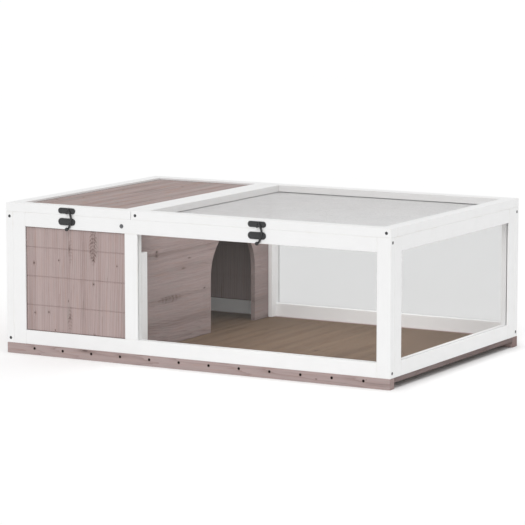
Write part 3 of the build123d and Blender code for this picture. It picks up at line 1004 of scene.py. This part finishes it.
class HOUSE_OT_screws(bpy.types.Operator):
    """Sets the crosshead screws of the frames, latches and hinges"""

    bl_idname = "tortoise_house.screws"
    bl_label = "Screws"

    def execute(self, context):
        sides = context.scene.house_fittings.round_sides
        tone = context.scene.house_finishes.screw
        dark = dark_steel("dark_screws", tone, 0.3)
        worn = dark_steel("worn_screw", tinted(tone, WORN_SCREW), 0.4)
        for name, nodes, material, body, profile in (
                ("house_screws", ("frame_screws", "wall_small_screws"), dark, "house",
                 flush_screw),
                ("rail_stop_screw", ("rail_screw",), worn, "house", raised_screw),
                ("solid_lid_fitting_screws", ("solid_lid_small_screws",), dark, "solid_lid",
                 flush_screw),
                ("mesh_lid_crosshead_screws", ("mesh_lid_screws", "mesh_lid_small_screws"),
                 dark, "mesh_lid", flush_screw)):
            fasteners(name, nodes, material, body, profile, sides)
        return {"FINISHED"}


class HOUSE_OT_base_nails(bpy.types.Operator):
    """Drives the round head nails of the base beams"""

    bl_idname = "tortoise_house.nails"
    bl_label = "Base Nails"

    def execute(self, context):
        material = dark_steel("nail_heads", context.scene.house_finishes.nail, 0.1)
        fasteners("round_head_nails", ("base_nails",), material, "house", round_nail,
                  context.scene.house_fittings.round_sides)
        return {"FINISHED"}


class HOUSE_OT_latches(bpy.types.Operator):
    """Makes the two swivel latches: rail plates, levers, rivets and keepers"""

    bl_idname = "tortoise_house.latches"
    bl_label = "Latches"

    def execute(self, context):
        black_fittings(context, (
            ("rail_plates", "latch_rail_plates", "house"),
            ("rivets", "latch_rivets", "house"),
            ("left_swivel_lever", "left_latch_lever", "left_lever"),
            ("right_swivel_lever", "right_latch_lever", "right_lever"),
            ("solid_lid_keeper", "solid_lid_keeper_plate", "solid_lid"),
            ("solid_lid_stud", "solid_lid_keeper_stud", "solid_lid"),
            ("mesh_lid_keeper", "mesh_lid_keeper_plate", "mesh_lid"),
            ("mesh_lid_stud", "mesh_lid_keeper_stud", "mesh_lid")))
        return {"FINISHED"}


class HOUSE_OT_hinges(bpy.types.Operator):
    """Makes the rear hinges: leaves on wall and lids, and their pins"""

    bl_idname = "tortoise_house.hinges"
    bl_label = "Hinges"

    def execute(self, context):
        black_fittings(context, (
            ("wall_leaves", "wall_hinge_leaves", "house"),
            ("solid_lid_leaves", "solid_lid_hinge_leaves", "solid_lid"),
            ("mesh_lid_leaves", "mesh_lid_hinge_leaves", "mesh_lid"),
            ("pins", "hinge_pins", "house")))
        return {"FINISHED"}


# The studio, in metres and degrees: a high soft lamp, a panel of light under the net, and the
# camera where the photograph was taken from.
LAMP_PLACE = (0.74, -2.51, 3.5)
FILL_PLACE = (0.155, 0.0, 0.30)
FILL_WIDTH = 0.56
FILL_DEPTH = 0.54
CAMERA_PLACE = (3.1447, -5.5720, 1.0891)
CAMERA_TURN = (82.1029, 0, 29.4591)
SENSOR_WIDTH_MM = 36
CAMERA_REACH = 200


def lay_floor(studio):
    """A plain pale floor with the faintest clouds."""
    shape = bmesh.new()
    bmesh.ops.create_grid(shape, x_segments=1, y_segments=1, size=studio.floor_width / 2)
    floor = set_up("studio_floor", meshed("studio_floor", shape))
    finish = Finish("studio_floor")
    cloud = finish.noise("studio floor", finish.place.values())
    pale = tuple(studio.floor)
    tone = finish.mix(pale, tinted(pale, CLOUDED_FLOOR), cloud)
    floor.data.materials.append(finish.close({"Base Color": tone, "Roughness": 0.9,
                                              "Specular IOR Level": 0.0}))


def hang_lamps(studio):
    """The high soft lamp, and a soft panel over the run that the camera doesn't see."""
    sun = bpy.data.lights.new("soft_lamp", "SUN")
    sun.energy = studio.lamp
    sun.angle = studio.lamp_spread
    lamp = set_up("soft_lamp", sun, LAMP_PLACE)
    lamp.rotation_euler = lamp.location.to_track_quat("Z", "Y").to_euler()

    panel = bpy.data.lights.new("run_fill", "AREA")
    panel.energy = studio.fill
    panel.shape = "RECTANGLE"
    panel.size, panel.size_y = FILL_WIDTH, FILL_DEPTH
    fill = set_up("run_fill", panel, FILL_PLACE)
    fill.visible_camera = False
    fill.visible_glossy = False


def light_room(scene, studio):
    """An even white room all round."""
    world = bpy.data.worlds.new("white_room")
    world.use_nodes = True
    room = world.node_tree.nodes["Background"]
    room.inputs["Color"].default_value = (1, 1, 1, 1)
    room.inputs["Strength"].default_value = studio.room_light
    scene.world = world
    scene.view_settings.view_transform = "Standard"


def stand_camera(scene, studio):
    """The camera, at the photograph's place."""
    lens = bpy.data.cameras.new("photo_camera")
    lens.sensor_width = SENSOR_WIDTH_MM
    lens.lens = studio.lens
    lens.clip_end = CAMERA_REACH
    camera = set_up("photo_camera", lens, CAMERA_PLACE)
    camera.rotation_euler = [radians(turn) for turn in CAMERA_TURN]
    scene.camera = camera


class HOUSE_OT_studio(bpy.types.Operator):
    """Builds the pale floor, the soft light and the camera"""

    bl_idname = "tortoise_house.studio"
    bl_label = "Studio"

    def execute(self, context):
        studio = context.scene.house_studio
        lay_floor(studio)
        hang_lamps(studio)
        light_room(context.scene, studio)
        stand_camera(context.scene, studio)
        return {"FINISHED"}


class HOUSE_PT_sidebar(bpy.types.Panel):
    """Steps and settings of the tortoise house"""

    bl_idname = "HOUSE_PT_sidebar"
    bl_label = "Tortoise House"
    bl_space_type = "VIEW_3D"
    bl_region_type = "UI"
    bl_category = "Tortoise House"

    def draw(self, context):
        for step in STEPS:
            self.layout.operator(step.bl_idname)
        for settings in (context.scene.house_finishes, context.scene.house_fittings,
                         context.scene.house_studio):
            box = self.layout.box()
            for name in settings.__annotations__:
                box.prop(settings, name)


STEPS = (HOUSE_OT_studio, HOUSE_OT_painted_timber, HOUSE_OT_stained_timber,
         HOUSE_OT_windows, HOUSE_OT_wire_net, HOUSE_OT_screws, HOUSE_OT_base_nails,
         HOUSE_OT_latches, HOUSE_OT_hinges)
SETTINGS = (HouseFinishes, HouseFittings, HouseStudio)


def register():
    for kind in SETTINGS + STEPS + (HOUSE_PT_sidebar,):
        bpy.utils.register_class(kind)
    bpy.types.Scene.house_finishes = PointerProperty(type=HouseFinishes)
    bpy.types.Scene.house_fittings = PointerProperty(type=HouseFittings)
    bpy.types.Scene.house_studio = PointerProperty(type=HouseStudio)


def unregister():
    del bpy.types.Scene.house_finishes
    del bpy.types.Scene.house_fittings
    del bpy.types.Scene.house_studio
    for kind in reversed(SETTINGS + STEPS + (HOUSE_PT_sidebar,)):
        bpy.utils.unregister_class(kind)


def main():
    register()
    steps = bpy.ops.tortoise_house
    steps.studio()
    steps.painted_timber()
    steps.stained_timber()
    steps.windows()
    steps.wire_net()
    steps.screws()
    steps.nails()
    steps.latches()
    steps.hinges()
    bpy.context.view_layer.update()


if __name__ == "__main__":
    main()
